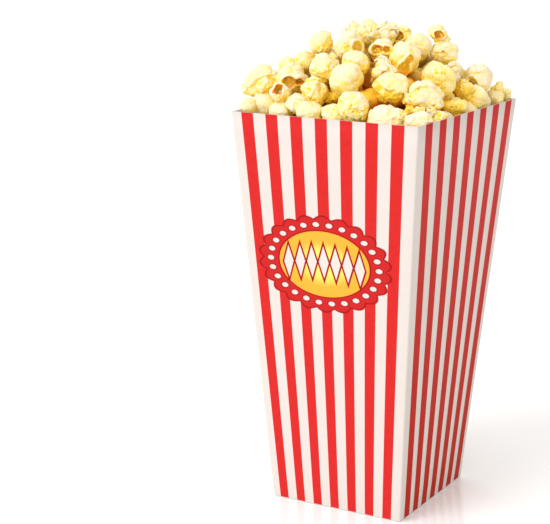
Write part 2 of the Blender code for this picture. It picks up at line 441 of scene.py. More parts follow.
def heap(seed):
    """Every kernel of the heap: those listed one by one, then those laid by rule round them."""
    placed = []
    for x, y, z, radius, form, facing, spin, tone, look in PLACED_KERNELS:
        middle = (x / 1000, y / 1000, HEIGHT + z / 1000)
        turn = math.radians(spin)
        placed.append(Kernel(middle, radius / 1000, form, facing, turn, tone, look, PLACED_DETAIL))
    fixed = np.array([(*kernel.middle, kernel.radius) for kernel in placed])
    rng = np.random.default_rng(seed)
    loose, layers = scattered_kernels(rng)
    distance = np.linalg.norm(loose[:, None, :3] - fixed[None, :, :3], axis=2)
    taken = (distance < ROOM_KEPT * (loose[:, None, 3] + fixed[None, :, 3])).any(axis=1)
    laid = []
    for place, layer in zip(settled(fixed, loose[~taken]), layers[~taken]):
        form = str(rng.choice(list(FORM_SHARES), p=list(FORM_SHARES.values())))
        facing = tuple(rng.normal(size=3) + (0, 0, 0.8))
        turn = rng.uniform(0, 2 * math.pi)
        tone = rng.uniform(*LAID_TONES)
        look = FIRST_LAID_LOOK + len(laid)
        detail = BURIED_DETAIL if layer else FILLER_DETAIL
        laid.append(Kernel(tuple(place[:3]), place[3], form, facing, turn, tone, look, detail))
    return placed + laid


# --- A popped kernel's shape ---


def unit(vectors):
    """The vectors at a length of 1."""
    return vectors / np.linalg.norm(vectors, axis=-1, keepdims=True)


def smooth(low, high, value):
    """A soft step from 0 at low to 1 at high."""
    share = np.clip((value - low) / (high - low), 0, 1)
    return share * share * (3 - 2 * share)


def even_ways(count, rng):
    """Directions spread evenly over a ball, then jittered and turned at random."""
    around = np.arange(count) * math.pi * (3 - math.sqrt(5))
    up = 1 - (2 * np.arange(count) + 1) / count
    out = np.sqrt(1 - up**2)
    ways = np.column_stack([np.cos(around) * out, np.sin(around) * out, up])
    frame_axes, _ = np.linalg.qr(rng.normal(size=(3, 3)))
    return unit(ways @ frame_axes + rng.normal(size=(count, 3)) * 0.45 / math.sqrt(count))


def waves(points, rng, frequency, count=7):
    """Smooth random values, mostly from -1 to 1."""
    turns = unit(rng.normal(size=(count, 3))) * frequency * rng.uniform(0.7, 1.4, (count, 1))
    phases = rng.uniform(0, 2 * math.pi, count)
    steps = points @ turns.T.astype(points.dtype) + phases.astype(points.dtype)
    return np.sin(steps).mean(axis=1) * 2.0


def wandered(points, rng, frequency, reach):
    """The points, each moved a little by smooth random waves."""
    moves = [waves(points, rng, frequency) for _ in range(3)]
    return points + reach * np.column_stack(moves)


def cells(points, rng, size):
    """How far each point is from the nearest and the next of scattered spots, in sizes, and a
    random number from 0 to 1 for the nearest."""
    table = (SPOT_TABLE, SPOT_TABLE, SPOT_TABLE, 4)
    spots = rng.uniform(0.1, 0.9, table).astype(points.dtype)
    scaled = points / size
    corner = np.floor(scaled).astype(int)
    near = np.full(len(points), FAR_OFF, points.dtype)
    far = near.copy()
    mark = near.copy()
    for step in itertools.product((-1, 0, 1), repeat=3):
        at = corner + step
        spot = spots[tuple((at % SPOT_TABLE).T)]
        away = np.linalg.norm(scaled - at - spot[:, :3], axis=1)
        mark = np.where(away < near, spot[:, 3], mark)
        far = np.minimum(far, np.maximum(near, away))
        near = np.minimum(near, away)
    return near, far, mark


def joined(first, second, softness):
    """The union of two fields, softened where they meet. A field is negative inside."""
    share = np.clip(0.5 + 0.5 * (second - first) / softness, 0, 1)
    return second + (first - second) * share - softness * share * (1 - share)


def carved(field, cutter, softness):
    """The field with the cutter taken out of it."""
    return -joined(-field, cutter, softness)


def with_lobes(points, rng, form):
    """The field of a ball that has puffed out into lobes."""
    sizes = rng.uniform(*form.lobe_sizes, form.lobes)
    reaches = form.spread * rng.uniform(0.85, 1.2, form.lobes)
    field = np.linalg.norm(points, axis=1) - form.core
    for way, reach, size in zip(even_ways(form.lobes, rng), reaches, sizes):
        lobe = np.linalg.norm(points - (way * reach).astype(points.dtype), axis=1) - size
        field = joined(field, lobe, form.softness)
    return field


def with_flap(field, points, rng, form):
    """The field with a sheet of skin added, which lifts off it towards a ragged edge."""
    way = unit(rng.normal(size=3) + (0, 0, 0.4)).astype(points.dtype)
    side = unit(np.cross(way, rng.normal(size=3))).astype(points.dtype)
    edge = points @ side - 0.15 * rng.normal()
    edge = edge + 0.10 * waves(points, rng, 6.0) + 0.05 * waves(points, rng, 14.0)
    lift = form.flap_lift * rng.uniform(0.7, 1.3) * smooth(-0.55, 0.0, edge)
    sheet = np.abs(field - lift) - SHEET
    sheet = np.maximum(sheet, 0.8 * edge)
    sheet = np.maximum(sheet, 0.8 * (0.15 - points @ way))
    return joined(field, sheet, 0.03)


def hollow(points, rng, form):
    """The field of the hollow in the face, which is of one or more bays side by side."""
    field = np.full(len(points), FAR_OFF, points.dtype)
    off = 0.0 if form.holes == 1 else 0.62 * form.hole_size
    depth = 1.6 if form.lip > 0.1 else 0.65
    for number in range(form.holes):
        turn = 2 * math.pi * number / form.holes
        middle = np.array((off * math.cos(turn), off * math.sin(turn), 0.80), points.dtype)
        deep = np.array((1.0, rng.uniform(0.8, 1.2), depth), points.dtype)
        size = form.hole_size * rng.uniform(0.75, 1.20)
        bay = np.linalg.norm((points - middle) / deep, axis=1) - size
        field = joined(field, bay, 0.06)
    return field + 0.07 * waves(points, rng, 5.0) + 0.035 * waves(points, rng, 13.0)


def with_hole(field, cutter, lip):
    """The field with the cutter taken out of it and a lip rolled round the cut's edge."""
    return joined(carved(field, cutter, 0.03), np.hypot(field, cutter) - lip, 0.04)


def averaged(grid, reach):
    """The grid's values averaged over a block of this many cells each way, twice."""
    width = 2 * reach + 1
    for axis in (0, 1, 2, 0, 1, 2):
        ends = [(reach + 1, reach) if each == axis else (0, 0) for each in range(3)]
        total = np.cumsum(np.pad(grid, ends, mode="edge"), axis=axis)
        length = grid.shape[axis]
        upper = np.take(total, np.arange(width, width + length), axis=axis)
        grid = (upper - np.take(total, np.arange(length), axis=axis)) / width
    return grid


def sampled(grid, places):
    """The grid's values at places between its points, which are given in cells."""
    low = np.clip(np.floor(places).astype(int), 0, np.array(grid.shape) - 2)
    share = places - low
    value = np.zeros(len(places))
    for step in itertools.product((0, 1), repeat=3):
        weight = np.prod(np.where(step, share, 1 - share), axis=1)
        value += weight * grid[tuple((low + step).T)]
    return value


def popped(rng, form, cell):
    """A popped kernel's surface: its points and faces, and for each point how enclosed it is,
    near to and further off, where a flat surface has 0.5, and how far it is in a hollow."""
    count = int(2 * KERNEL_REACH / cell)
    line = ((np.arange(count) + 0.5) * cell - KERNEL_REACH).astype(np.float32)
    points = np.stack(np.meshgrid(line, line, line, indexing="ij"), axis=-1).reshape(-1, 3)
    points = points * form.stretch ** (1 / 3) / np.array((form.stretch, 1, 1), np.float32)
    points = wandered(points, rng, 2.4, 0.06).astype(np.float32)
    field = with_lobes(points, rng, form)
    band = np.abs(field) < SKIN_BAND
    close = points[band]
    skin = field[band]
    for _ in range(form.flaps):
        skin = with_flap(skin, close, rng, form)
    inner = np.zeros_like(field)
    if form.holes:
        cutter = hollow(close, rng, form)
        skin = with_hole(skin, cutter, form.lip)
        inner[band] = smooth(0.0, -0.7 * form.lip, cutter)
    field[band] = skin
    shape = (count, count, count)
    field = np.clip(field, -FIELD_LIMIT, FIELD_LIMIT).reshape(shape).astype(np.float32)
    volume = openvdb.FloatGrid(FIELD_LIMIT)
    volume.copyFromArray(field)
    places, _, faces = volume.convertToPolygons(isovalue=0.0, adaptivity=0.0)
    filled = np.clip(0.5 - field / cell, 0, 1)
    near, wide = (averaged(filled, max(1, round(width / cell))) for width in ENCLOSING)
    marks = {"near": near, "wide": wide, "inner": inner.reshape(shape)}
    marks = {name: sampled(grid, places) for name, grid in marks.items()}
    return (places + 0.5) * cell - KERNEL_REACH, faces, marks


def ringed(points, rng, form):
    """How far oval creases move the points out, and how golden they make each."""
    ways = unit(points)
    rise = np.zeros(len(points))
    golden = np.zeros(len(points))
    ragged = 0.07 * waves(points, rng, 5.0) + 0.03 * waves(points, rng, 12.0)
    for _ in range(form.rings):
        middle = unit(rng.normal(size=3) + (0, 0, 0.5))
        along = unit(np.cross(middle, rng.normal(size=3)))
        away = ways - middle
        away += rng.uniform(0.4, 1.2) * (away @ along)[:, None] * along
        past = np.linalg.norm(away, axis=1) - rng.uniform(0.22, 0.62) + ragged
        faded = smooth(-0.6, 0.5, waves(points, rng, 4.0))
        rise += rng.uniform(-0.045, 0.030) * smooth(0.08, -0.05, past)
        crease = smooth(0.085, 0.0, np.abs(past)) * faded
        rise -= 0.025 * crease
        golden += 0.40 * crease + rng.uniform(0.0, 0.22) * smooth(0.05, -0.10, past)
    return rise, golden


def blistered(points, normals, rng, form):
    """The points moved out into blisters and in at pits, and how golden that makes each."""
    rise, golden = ringed(points, rng, form)

    # blisters, with golden creases between them and a golden one here and there
    large, fine = BLISTER_SIZES
    near, far, mark = cells(wandered(points, rng, 5.0, 0.08), rng, large)
    fine_near, fine_far, fine_mark = cells(wandered(points, rng, 9.0, 0.04), rng, fine)
    patch = smooth(-0.5, 0.6, waves(points, rng, 2.5))
    swell = 0.080 * (0.5 - near**2) + 0.060 * (0.25 + 0.75 * patch) * (0.5 - fine_near**2)
    rise += swell * form.bubbles
    golden += 0.25 * patch * smooth(0.25, 0.0, fine_far - fine_near)
    golden += 0.20 * smooth(0.18, 0.0, far - near)
    golden += 0.30 * smooth(0.66, 0.74, mark) * smooth(0.0, 0.2, far - near)
    golden += 0.22 * smooth(0.70, 0.76, fine_mark) * smooth(0.0, 0.2, fine_far - fine_near)

    # small dents, in patches
    dented, _, _ = cells(points, rng, DENT_SIZE)
    dent = smooth(0.55, 0.15, dented) * smooth(-0.4, 0.5, waves(points, rng, 3.5))
    rise -= 0.028 * dent
    golden += 0.28 * dent

    # pits like a honeycomb's on the face, with pale ridges between them
    size = rng.uniform(*PIT_SIZES)
    near, far, mark = cells(wandered(points, rng, 5.0, 0.10), rng, size)
    face = 0.5 * points[:, 2] + 0.45 * waves(points, rng, 2.8)
    pitted = smooth(0.75 - form.pitted, 1.05 - form.pitted, face)
    pit = smooth(0.08, 0.30, far - near) * smooth(0.25, 0.65, mark) * pitted
    rise -= 0.36 * size * pit - 0.03 * pitted
    golden += (0.50 + 0.55 * mark) * pit - 0.20 * pitted * smooth(0.15, 0.0, far - near)

    # unevenness all over
    rise += 0.022 * waves(points, rng, 9.0) + 0.020 * waves(points, rng, 22.0, 12)
    return points + normals * rise[:, None], golden


def turned(facing, spin):
    """The turn that takes +Z to the way a kernel faces, after a spin about +Z."""
    aim = Vector(facing).to_track_quat("Z", "Y").to_matrix()
    return np.array(aim @ Matrix.Rotation(spin, 3, "Z"))


def kept_inside(points):
    """The points, with those outside the carton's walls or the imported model's box moved in."""
    low, high = (np.array(corner) for corner in cad_box)
    points = np.clip(points, low + BOX_CLEARANCE, high - BOX_CLEARANCE)
    inset = BOARD + GAP
    east, north = in_section(points[:, 0], points[:, 1], points[:, 2], inset)
    walled = points[:, 2] < HEIGHT + RIM_CLEARANCE
    x, y = wall_plan(np.clip(east, -1, 1), np.clip(north, -1, 1), points[:, 2], inset)
    points[walled, 0] = x[walled]
    points[walled, 1] = y[walled]
    return points


# --- Meshes ---


def mesh_of(bm, name):
    """A new mesh from the bmesh, which is freed."""
    mesh = bpy.data.meshes.new(name)
    bm.to_mesh(mesh)
    bm.free()
    return mesh


def shown(name, data):
    """A new object in the scene that shows the mesh, lamp or camera."""
    obj = bpy.data.objects.new(name, data)
    bpy.context.scene.collection.objects.link(obj)
    return obj


def piece(name, mesh, materials, replaced):
    """Shows the mesh as a piece of the object, with its finish."""
    for material in materials:
        mesh.materials.append(material)
    obj = shown(name, mesh)
    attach(obj, "root")
    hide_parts(replaced)
    return obj


def without_crumbs(mesh):
    """Leaves only the largest connected part of the mesh."""
    bm = bmesh.new()
    bm.from_mesh(mesh)
    seen = set()
    parts = []
    for start in bm.verts:
        if start in seen:
            continue
        seen.add(start)
        part = [start]
        for vert in part:
            beside = {edge.other_vert(vert) for edge in vert.link_edges} - seen
            seen |= beside
            part += beside
        parts.append(part)
    largest = max(parts, key=len)
    crumbs = [vert for part in parts if part is not largest for vert in part]
    bmesh.ops.delete(bm, geom=crumbs, context="VERTS")
    bm.to_mesh(mesh)
    bm.free()


def thinned(mesh, share):
    """The mesh with this share of its triangles, which stay closest where it bends most."""
    helper = shown("helper", mesh)
    modifier = helper.modifiers.new("thinned", "DECIMATE")
    modifier.ratio = share
    graph = bpy.context.evaluated_depsgraph_get()
    result = bpy.data.meshes.new_from_object(
        helper.evaluated_get(graph), preserve_all_data_layers=True, depsgraph=graph
    )
    bpy.data.objects.remove(helper)
    bpy.data.meshes.remove(mesh)
    return result


def vectors_of(items, name):
    """The vectors that Blender's items hold under this name, one a row."""
    values = np.empty(len(items) * 3, np.float32)
    items.foreach_get(name, values)
    return values.reshape(-1, 3).astype(float)


def mark_points(mesh, name, values):
    """Keeps a number for each of the mesh's points under this name."""
    attribute = mesh.attributes.new(name, "FLOAT", "POINT")
    attribute.data.foreach_set("value", values.astype(np.float32))


def taken_marks(mesh, name):
    """The numbers that the mesh's points hold under this name, which are taken off it."""
    values = np.empty(len(mesh.vertices), np.float32)
    mesh.attributes[name].data.foreach_get("value", values)
    mesh.attributes.remove(mesh.attributes[name])
    return values


def painted_shade_from_neighbours(points, normals, kernel, kernels):
    """How much of what each point of a kernel faces is taken up by the kernels round it, to be
    painted on it as shade.
    """
    total = np.zeros(len(points))
    for other in kernels:
        apart = np.linalg.norm(np.array(other.middle) - np.array(kernel.middle))
        if other is kernel or apart >= NEIGHBOUR_SHADE_REACH:
            continue
        away = np.array(other.middle) - points
        distance = np.linalg.norm(away, axis=1)
        facing = np.clip((away * normals).sum(axis=1) / distance, 0, 1)
        total += facing * np.minimum(other.radius / distance, 1.0) ** 2
    return total


def popped_mesh(kernel, rng):
    """A popped kernel's mesh before its skin is roughened, and the marks on its points."""
    points, faces, marks = popped(rng, FORMS[kernel.form], kernel.detail.cell)
    mesh = bpy.data.meshes.new("kernel")
    mesh.from_pydata(points.tolist(), [], faces.tolist())
    for name, values in marks.items():
        mark_points(mesh, name, values)
    without_crumbs(mesh)
    return mesh, [taken_marks(mesh, name) for name in marks]


def kernel_mesh(kernel, kernels, size):
    """One kernel's mesh, in place, with its golden and brown shares on its points, which hold
    painted light and shade besides its own colours.
    """
    rng = np.random.default_rng((SEED, kernel.look))
    mesh, (near, wide, inner) = popped_mesh(kernel, rng)
    points, normals = vectors_of(mesh.vertices, "co"), vectors_of(mesh.vertex_normals, "vector")
    points, golden = blistered(points, normals, rng, FORMS[kernel.form])

    # painted shade, golden where a point is enclosed in creases, and painted light, paler where it
    # is open on ridges;
    # toasted hollows with hulls in them; and painted brown shade where a point is deeply enclosed
    golden += 0.9 * smooth(0.52, 0.70, near) - 0.5 * smooth(0.46, 0.34, near)
    deep = 1.0 if kernel.form in DARK_INSIDE else 0.0
    toasted = 0.95 + 0.30 * deep + 0.35 * waves(points, rng, 7.0)
    golden += (toasted - golden) * inner + kernel.tone
    husk = (0.6 + 0.4 * deep) * inner * smooth(-0.7, 0.3, waves(points, rng, 6.0))
    hull = smooth(0.76, 0.92, wide) + husk

    # turned, and put in its place at its size
    points -= (points.min(axis=0) + points.max(axis=0)) / 2
    points /= np.percentile(np.linalg.norm(points, axis=1), 80)
    points = points @ turned(kernel.facing, kernel.spin).T
    points = kept_inside(points * kernel.radius * size + np.array(kernel.middle))
    mesh.vertices.foreach_set("co", points.astype(np.float32).ravel())
    mesh.update()

    # painted shade: more golden underneath, beside other kernels and deep in the heap, and browner
    # where most crowded and deepest; painted light: paler on faces turned towards the light
    normals = vectors_of(mesh.vertex_normals, "vector")
    lit = normals @ PAINTED_LIGHT_WAY
    golden += UNDERSIDE_SHADE * smooth(0.55, -0.65, lit) - 0.25 * smooth(0.45, 0.95, lit)
    if kernel.detail != BURIED_DETAIL:
        neighbour_shade = painted_shade_from_neighbours(points, normals, kernel, kernels)
        golden += 0.3 * smooth(0.05, 0.6, neighbour_shade) + 0.3 * smooth(0.6, 1.6, neighbour_shade)
        hull += 0.4 * smooth(1.4, 2.6, neighbour_shade)
    depth = mound_height(points[:, :2]) - points[:, 2]
    golden += 0.9 * smooth(*GOLDEN_SHADE_DEPTHS, depth)
    hull += 0.9 * smooth(*BROWN_SHADE_DEPTHS, depth)
    mark_points(mesh, "golden", golden)
    mark_points(mesh, "hull", hull)
    return thinned(mesh, kernel.detail.kept)


# --- Finishes ---


class Nodes:
    """The nodes of a material or world, with short ways to add to them."""

    def __init__(self, owner, shader):
        owner.use_nodes = True
        self.tree = owner.node_tree
        self.shader = self.tree.nodes[shader]

    def put(self, value, socket):
        """Sets a socket, or links it where the value is another node's socket."""
        if isinstance(value, bpy.types.NodeSocket):
            self.tree.links.new(value, socket)
        elif getattr(socket, "type", "") == "RGBA" and len(value) == 3:
            socket.default_value = (*value, 1.0)
        else:
            socket.default_value = value

    def shade(self, **values):
        """Sets the shader's own sockets, named with underscores for spaces."""
        for name, value in values.items():
            self.put(value, self.shader.inputs[name.replace("_", " ")])

    def node(self, kind, inputs, output=0, **settings):
        """Adds a node and returns one of its output sockets."""
        node = self.tree.nodes.new(kind)
        for name, value in settings.items():
            setattr(node, name, value)
        for key, value in inputs.items():
            self.put(value, node.inputs[key])
        return node.outputs[output]

    def math(self, operation, *values):
        """A Math node."""
        return self.node("ShaderNodeMath", dict(enumerate(values)), operation=operation)

    def length(self, first, second):
        """The length of two sides at right angles to each other."""
        squares = [self.math("POWER", side, 2.0) for side in (first, second)]
        return self.math("SQRT", self.math("ADD", *squares))

    def nearest(self, value, low, high):
        """The whole number nearest to the value, from low to high."""
        return self.math("MINIMUM", self.math("MAXIMUM", self.math("ROUND", value), low), high)

    def axes(self, place):
        """The three parts of a place."""
        return [self.node("ShaderNodeSeparateXYZ", {0: place}, output=axis) for axis in range(3)]

    def step(self, value, low, high):
        """A soft step from 0 at low to 1 at high."""
        inputs = {0: value, 1: low, 2: high}
        return self.node("ShaderNodeMapRange", inputs, interpolation_type="SMOOTHSTEP")

    def mix(self, share, first, second):
        """A mix of two colours."""
        inputs = {0: share, 6: first, 7: second}
        return self.node("ShaderNodeMix", inputs, output=2, data_type="RGBA")

    def filled(self, colour, field, fills):
        """The colour with fills laid over it in turn: each covers where the field is under an
        edge, and is given as that edge, half its blur and its own colour."""
        for edge, blur, fill in fills:
            colour = self.mix(self.step(field, edge + blur, edge - blur), colour, fill)
        return colour

    def place(self):
        """Position on the object, in metres."""
        return self.node("ShaderNodeTexCoord", {}, output=3)

    def noise(self, scale, detail):
        """Even noise from 0 to 1."""
        inputs = {"Vector": self.place(), "Scale": scale, "Detail": detail}
        return self.node("ShaderNodeTexNoise", inputs)

    def attribute(self, name):
        """The value that the mesh holds under this name."""
        return self.node("ShaderNodeAttribute", {}, output=2, attribute_name=name)

    def relief(self, height, distance, strength=1.0, normal=None):
        """A bump from a height, to be used as the shader's normal."""
        inputs = {"Height": height, "Distance": distance, "Strength": strength}
        if normal:
            inputs["Normal"] = normal
        return self.node("ShaderNodeBump", inputs)


class Finish(Nodes):
    """A material and its nodes."""

    def __init__(self, name):
        self.material = bpy.data.materials.new(name)
        super().__init__(self.material, "Principled BSDF")


def inked(finish, colour, inks, first_stripe, broader=0.0):
    """Stripes printed over a panel's bare colour, their ink running from its colour at the base to
    its colour at the rim; on the sides these are painted shade low down and a painted sheen high
    up.

    At the base, the stripes are broader by a share of the pitch.
    """
    u, v, _ = finish.axes(finish.node("ShaderNodeUVMap", {}, uv_map="print"))
    place = finish.math("DIVIDE", finish.math("SUBTRACT", u, first_stripe), STRIPE_PITCH)
    nearest = finish.nearest(place, 0, STRIPES - 1)
    away = finish.math("ABSOLUTE", finish.math("SUBTRACT", place, nearest))
    half = finish.math("MULTIPLY_ADD", v, -broader / 2, (STRIPE_SHARE + broader) / 2)
    past = finish.math("SUBTRACT", away, half)
    share = finish.step(past, STRIPE_BLUR, -STRIPE_BLUR)
    printed = finish.step(v, *PRINT_START)
    mottle = finish.step(finish.noise(420.0, 4.0), 0.25, 0.75)
    # the ink runs from its base colour up to its rim colour; on the sides that is painted shade low
    # down and a painted sheen high up
    ink = finish.mix(finish.math("MULTIPLY", mottle, INK_MOTTLE), finish.mix(v, *inks), BLACK)
    return finish.mix(finish.math("MULTIPLY", share, printed), colour, ink)


def board_white(finish, settings):
    """Bare coated board, a little uneven."""
    cloud = finish.noise(60.0, 3.0)
    darker = tuple(0.965 * part for part in settings.white)
    return finish.mix(cloud, settings.white, darker)


def satin(finish):
    """The coated board's gloss and the faint grain of its paper."""
    grain = finish.noise(2600.0, 2.0)
    cockle = finish.noise(45.0, 1.0)
    smear = finish.math("MULTIPLY_ADD", finish.noise(90.0, 3.0), 0.12, 0.40)
    waved = finish.relief(cockle, 0.0003, 0.35)
    finish.shade(
        Roughness=smear,
        Normal=finish.relief(grain, 0.00003, 0.35, waved),
        Specular_IOR_Level=0.04,
    )


def side_print(settings):
    """Board printed with stripes, their ink painted darker and browner towards the base as shade,
    and pinker towards the rim as a sheen.
    """
    finish = Finish("printed_side")
    bare = board_white(finish, settings)
    inks = (settings.base_red_with_painted_shade, settings.rim_red_with_painted_sheen)
    finish.shade(Base_Color=inked(finish, bare, inks, SIDE_FIRST_STRIPE, SIDE_BROADER))
    satin(finish)
    return finish.material


def badge(finish, colour, settings):
    """A scalloped medallion with a glowing middle, a ring of dots and a row of lozenges."""
    x, _, z = finish.axes(finish.place())
    right, up = (
        finish.math("DIVIDE", finish.math("SUBTRACT", value, middle), half)
        for value, middle, half in zip((x, z), BADGE_MIDDLE, BADGE_HALF)
    )
    reach = finish.length(right, up)
    around = finish.math("ARCTAN2", up, right)
    outline, white = settings.dark_red, settings.white

    wave = finish.math("SINE", finish.math("MULTIPLY", around, SCALLOPS / 2))
    edge = finish.math("MULTIPLY_ADD", finish.math("ABSOLUTE", wave), *SCALLOP_REACH)
    past = finish.math("SUBTRACT", reach, edge)
    red = tuple(0.86 * part for part in settings.red)
    colour = finish.filled(colour, past, ((0.025, 0.010, outline), (-0.008, 0.010, red)))

    glow = finish.filled(settings.gold, reach, ((0.36, 0.14, settings.yellow),))
    fills = ((0.6925, 0.0075, outline), (0.6675, 0.0075, glow))
    colour = finish.filled(colour, reach, fills)

    turn = finish.math("MULTIPLY", around, DOTS / (2 * math.pi))
    turn = finish.math("SUBTRACT", turn, finish.math("ROUND", turn))
    beside = finish.math("MULTIPLY", finish.math("MULTIPLY", turn, reach), 2 * math.pi / DOTS)
    away = finish.length(beside, finish.math("SUBTRACT", reach, DOT_RING))
    colour = finish.filled(colour, away, ((0.066, 0.006, outline), (0.048, 0.006, white)))

    arch = finish.math("MULTIPLY_ADD", finish.math("POWER", right, 2.0), *LOZENGE_ARCH)
    tall = finish.math("ABSOLUTE", finish.math("SUBTRACT", up, arch))
    tall = finish.math("DIVIDE", tall, LOZENGE_HEIGHT)
    count = finish.math("DIVIDE", right, LOZENGE_PITCH)
    nearest = finish.nearest(count, -(LOZENGES - 1) / 2, (LOZENGES - 1) / 2)
    across = finish.math("ABSOLUTE", finish.math("SUBTRACT", count, nearest))
    diamond = finish.math("ADD", finish.math("MULTIPLY", across, 2.0), tall)
    return finish.filled(colour, diamond, ((1.13, 0.04, outline), (0.82, 0.04, white)))


def front_print(settings):
    """Board printed with stripes and the badge."""
    finish = Finish("printed_front")
    inks = (settings.red, settings.red)
    striped = inked(finish, board_white(finish, settings), inks, FRONT_FIRST_STRIPE)
    finish.shade(Base_Color=badge(finish, striped, settings))
    satin(finish)
    return finish.material


def bare_board(settings):
    """The uncoated side of the board, and its cut edges."""
    finish = Finish("bare_board")
    fibres = finish.noise(900.0, 5.0)
    darker = tuple(0.86 * part for part in settings.white)
    finish.shade(
        Base_Color=finish.mix(fibres, settings.white, darker),
        Roughness=0.72,
        Normal=finish.relief(fibres, 0.00008, 0.6),
    )
    return finish.material


def popcorn_flesh(settings):
    """Popped corn: cream skin, golden creases, toasted patches and brown hulls, with painted light
    and shade:
    paler tops and ridges, golden shade in creases, underneath, between kernels and deep in the
    heap, and brown shade in the deepest gaps.
    """
    finish = Finish("popped_corn")
    golden = finish.attribute("golden")
    speckle = finish.noise(400.0, 5.0)
    golden = finish.math("MULTIPLY_ADD", finish.math("SUBTRACT", speckle, 0.5), 1.3, golden)
    colour = finish.mix(finish.step(golden, -0.45, 0.15), settings.white, settings.cream)
    colour = finish.mix(finish.step(golden, 0.15, 0.65), colour, settings.butter_and_shade)
    colour = finish.mix(finish.step(golden, 0.55, 1.15), colour, settings.golden)
    hull = finish.step(finish.attribute("hull"), 0.25, 0.95)
    colour = finish.mix(hull, colour, settings.hull)
    blisters = finish.node(
        "ShaderNodeTexVoronoi", {"Vector": finish.place(), "Scale": 900.0}, feature="SMOOTH_F1",
    )
    rough = finish.relief(blisters, 0.00022, 0.5)
    finish.shade(
        Base_Color=colour,
        Roughness=finish.math("MULTIPLY_ADD", hull, -0.25, 0.62),
        Normal=finish.relief(finish.noise(1500.0, 4.0), 0.00015, 0.5, rough),
        Specular_IOR_Level=0.22,
        Subsurface_Weight=0.40,
        Subsurface_Scale=0.0016,
        Subsurface_Radius=(1.0, 0.75, 0.28),
    )
    return finish.material


def shadowed_flesh(settings):
    """The core's finish, seen only in the gaps between kernels: painted shade, the golden darkened
    and patched with brown.
    """
    finish = Finish("core_corn")
    patches = finish.step(finish.noise(160.0, 4.0), 0.35, 0.70)
    # painted shade: a darker copy of the golden
    deep = tuple(0.75 * part for part in settings.golden)
    colour = finish.mix(patches, deep, settings.hull)
    finish.shade(
        Base_Color=colour,
        Roughness=0.8,
        Normal=finish.relief(finish.noise(500.0, 4.0), 0.0006, 0.8),
    )
    return finish.material


# --- Pieces ---


def on_fold(edge):
    """Whether an edge of the unshaped box, 2 each way, lies where two of its sides meet."""
    sides = [(abs(vert.co.x) == 1, abs(vert.co.y) == 1, vert.co.z == -1) for vert in edge.verts]
    return sum(first and second for first, second in zip(*sides)) == 2


def print_place(point, normal):
    """Which panel a point of the carton is on, and where: across from its left edge, and up."""
    east, north = in_section(point.x, point.y, point.z)
    if abs(normal.z) > 0.8:
        return "base", ((east + 1) / 2, (north + 1) / 2)
    if abs(normal.y) > abs(normal.x):
        facing = math.copysign(1, normal.y)
        return ("back" if facing > 0 else "front"), ((1 - facing * east) / 2, point.z / HEIGHT)
    facing = math.copysign(1, normal.x)
    return "side", ((1 + facing * north) / 2, point.z / HEIGHT)


def make_carton_mesh():
    """The carton, folded from one sheet: four leaning panels and a flat base."""
    slots = {"front": 0, "side": 1, "back": 1, "base": 2}
    bm = bmesh.new()
    bmesh.ops.create_cube(bm, size=2.0)
    lid = [face for face in bm.faces if face.normal.z > 0.5]
    bmesh.ops.delete(bm, geom=lid, context="FACES_ONLY")
    bmesh.ops.subdivide_edges(bm, edges=bm.edges[:], cuts=PANEL_CUTS, use_grid_fill=True)
    folds = [edge for edge in bm.edges if on_fold(edge)]
    for vert in bm.verts:
        east, north, up = vert.co
        height = HEIGHT * (up + 1) / 2
        bow = PANEL_BULGE * math.cos(up * math.pi / 2) ** 0.5 if abs(up) < 1 else 0.0
        x, y = wall_plan(east, north, height)
        if abs(east) == 1:
            x += east * bow * math.cos(north * math.pi / 2)
        if abs(north) == 1:
            y += north * bow * math.cos(east * math.pi / 2)
        vert.co = (x, y, height)
    bmesh.ops.bevel(
        bm, geom=folds, offset=FOLD_RADIUS, offset_type="OFFSET", segments=FOLD_SEGMENTS,
        profile=0.5, affect="EDGES", material=-1,
    )
    bmesh.ops.recalc_face_normals(bm, faces=bm.faces)
    print_map = bm.loops.layers.uv.new("print")
    for face in bm.faces:
        panel, _ = print_place(face.calc_center_median(), face.normal)
        face.material_index = slots[panel]
        for loop in face.loops:
            loop[print_map].uv = print_place(loop.vert.co, face.normal)[1]
    return mesh_of(bm, "carton_board")


def make_core_mesh():
    """The solid heap under the kernels, its top bumpy."""
    inset = BOARD + 2 * GAP
    rng = np.random.default_rng(SEED)
    bm = bmesh.new()
    bmesh.ops.create_cube(bm, size=2.0)
    bmesh.ops.subdivide_edges(bm, edges=bm.edges[:], cuts=CORE_CUTS, use_grid_fill=True)
    co = np.array([vert.co for vert in bm.verts])
    rim_x, rim_y = wall_plan(co[:, 0], co[:, 1], HEIGHT, inset)
    plan = np.column_stack([rim_x, rim_y])
    level = np.column_stack([plan, np.zeros(len(plan))]) / LUMP_SIZE
    lumps = 0.0018 * waves(level, rng, 4.5) + 0.0008 * waves(level, rng, 11.0)
    top = mound_height(plan) - CORE_DEPTH + lumps
    heights = inset + (top - inset) * (co[:, 2] + 1) / 2
    x, y = wall_plan(co[:, 0], co[:, 1], heights, inset)
    for vert, place in zip(bm.verts, zip(x, y, heights)):
        vert.co = place
    bmesh.ops.recalc_face_normals(bm, faces=bm.faces)
    mesh = mesh_of(bm, "popcorn_core")
    mesh.shade_smooth()
    return mesh


